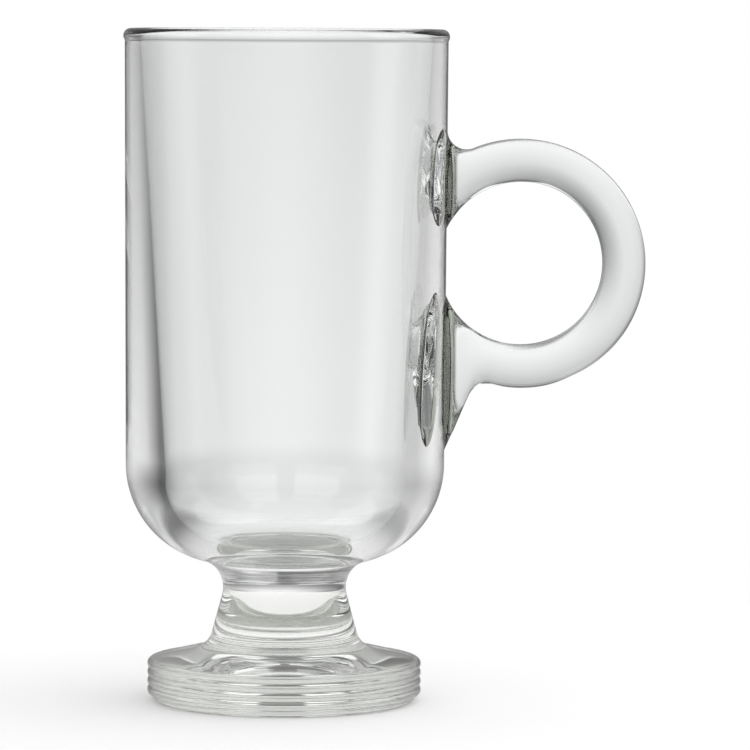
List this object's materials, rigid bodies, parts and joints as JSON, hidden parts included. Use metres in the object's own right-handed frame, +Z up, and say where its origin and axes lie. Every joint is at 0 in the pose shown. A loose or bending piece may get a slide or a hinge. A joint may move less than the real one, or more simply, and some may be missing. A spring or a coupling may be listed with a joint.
{
  "type": "irish coffee glass mug",
  "caption": "Clear pressed-glass Irish coffee mug: tall, slightly tapered bowl with a rounded rim, short solid stem, domed foot with a ridged edge, and a round ring handle.",
  "frame": {"origin": "on the mug's axis, at the centre of the foot's resting plane", "axes": "+Z up along the mug's axis from the table to the mouth, +X towards the ring handle, +Y across the handle"},
  "size_m": [0.1122, 0.07, 0.1448],
  "materials": {
    "bowl_glass": "clear pressed glass, fire polished",
    "stem_glass": "clear solid glass, fire polished",
    "foot_glass": "clear solid glass with a faint green-grey cast",
    "handle_glass": "clear pressed glass, fire polished",
    "pad_glass": "clear pressed glass, fused to the bowl"
  },
  "bodies": {
    "root": {"bowl": "bowl_glass", "stem": "stem_glass", "foot": "foot_glass", "handle_ring": "handle_glass", "upper_pad": "pad_glass", "lower_pad": "pad_glass"}
  },
  "joints": []
}
